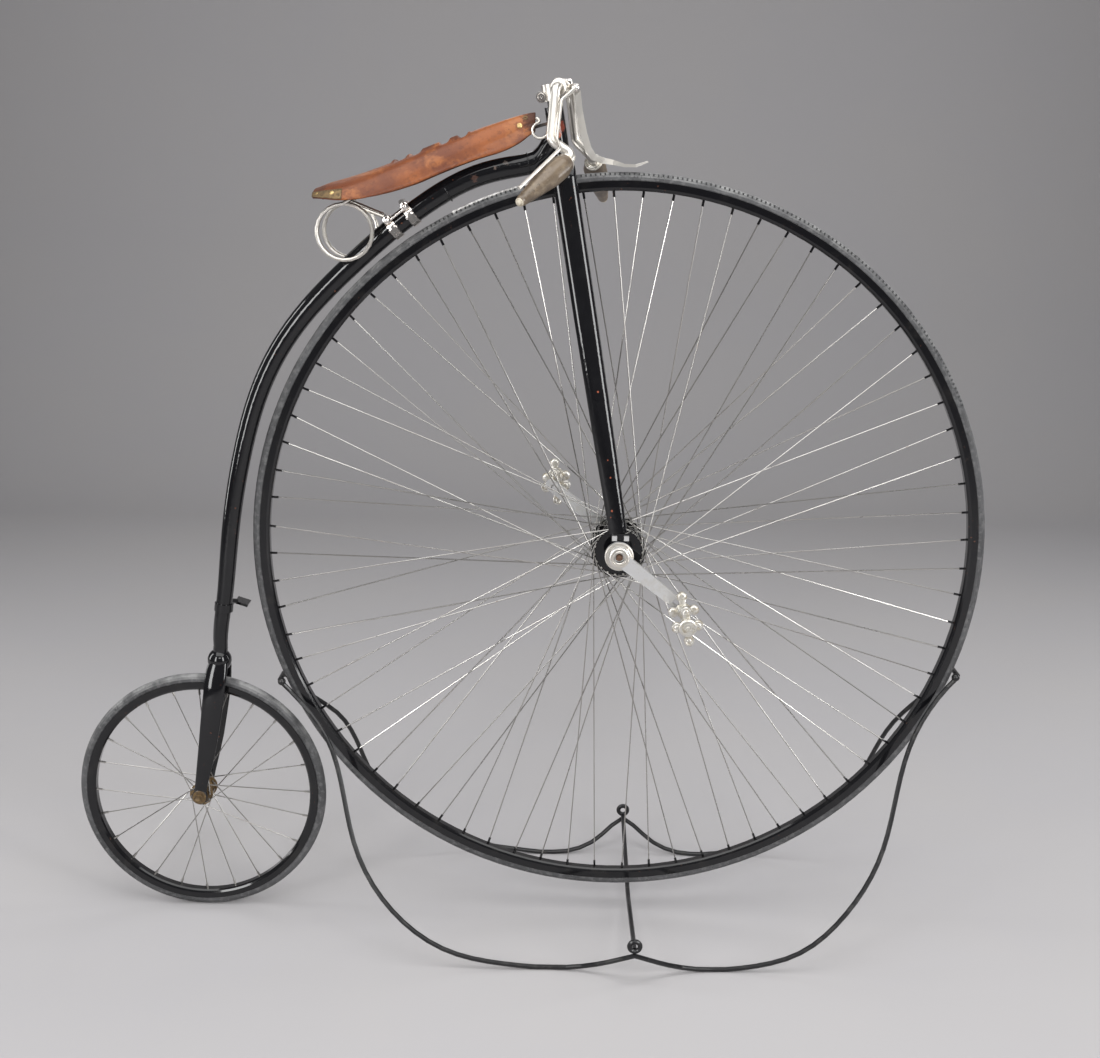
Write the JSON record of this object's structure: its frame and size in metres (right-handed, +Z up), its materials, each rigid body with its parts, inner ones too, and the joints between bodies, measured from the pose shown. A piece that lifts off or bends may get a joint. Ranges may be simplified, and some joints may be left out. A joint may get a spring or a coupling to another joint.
{
  "type": "high wheel bicycle",
  "caption": "High wheel bicycle with wire spoked wheels, curved backbone, leather saddle, spoon brake and a bent wire display stand under the front wheel.",
  "frame": {"origin": "on the floor under the middle of the whole, wheels and stand", "axes": "+X forwards, towards the large front wheel; +Y to the rider's left; +Z up"},
  "size_m": [1.7259, 0.6034, 1.5855],
  "materials": {
    "black_enamel": "gloss",
    "rim_enamel": "gloss",
    "grey_rubber": "matte",
    "bare_steel": "worn",
    "nickel": "worn",
    "grip_horn": "satin",
    "saddle_leather": "satin",
    "saddle_iron": "satin",
    "stand_black": "satin"
  },
  "bodies": {
    "front_frame": {"fork_blade_left": "black_enamel", "fork_blade_right": "black_enamel", "fork_crown_and_stem": "black_enamel", "bearing_block_left": "black_enamel", "bearing_block_right": "black_enamel", "bearing_bolts_left": "bare_steel", "bearing_bolts_right": "bare_steel", "handlebar_lug": "nickel", "handlebar": "nickel", "grip_left": "grip_horn", "grip_right": "grip_horn", "brake_spoon": "nickel", "brake_lever": "nickel", "stand_side_left": "stand_black", "stand_side_right": "stand_black", "stand_cross_bar": "stand_black", "stand_eyes": "stand_black", "stand_end_rods": "stand_black"},
    "rear_frame": {"backbone": "black_enamel", "neck": "black_enamel", "rear_fork": "black_enamel", "rear_axle": "bare_steel", "step_band": "black_enamel", "step": "black_enamel", "saddle_leather": "saddle_leather", "saddle_plate": "saddle_iron", "saddle_springs": "nickel", "spring_bands": "nickel", "saddle_hook": "nickel"},
    "front_wheel": {"front_tyre": "grey_rubber", "front_rim": "rim_enamel", "front_spokes_left": "bare_steel", "front_spokes_right": "bare_steel", "front_nipples": "rim_enamel", "front_hub": "black_enamel", "front_axle": "bare_steel", "crank_left": "bare_steel", "crank_right": "bare_steel", "pedal_spindle_left": "bare_steel", "pedal_spindle_right": "bare_steel"},
    "rear_wheel": {"rear_tyre": "grey_rubber", "rear_rim": "rim_enamel", "rear_spokes": "bare_steel", "rear_hub": "bare_steel"},
    "pedal_right": {"pedal_right": "nickel"},
    "pedal_left": {"pedal_left": "nickel"}
  },
  "joints": [
    {"name": "steering", "type": "hinge", "parent": "front_frame", "child": "rear_frame", "pos_m": [0.05634, 0, 1.482], "axis": [-0.1668, 0, 0.986], "range_deg": [-30, 30]},
    {"name": "front_wheel_spin", "type": "hinge", "parent": "front_frame", "child": "front_wheel", "pos_m": [0.177, 0, 0.742], "axis": [0, 1, 0], "continuous": true},
    {"name": "rear_wheel_spin", "type": "hinge", "parent": "rear_frame", "child": "rear_wheel", "pos_m": [-0.623, 0, 0.24], "axis": [0, 1, 0], "continuous": true},
    {"name": "pedal_right_spin", "type": "hinge", "parent": "front_wheel", "child": "pedal_right", "pos_m": [0.2952, -0.14, 0.64965], "axis": [0, 1, 0], "continuous": true},
    {"name": "pedal_left_spin", "type": "hinge", "parent": "front_wheel", "child": "pedal_left", "pos_m": [0.0588, 0.14, 0.83435], "axis": [0, 1, 0], "continuous": true}
  ]
}
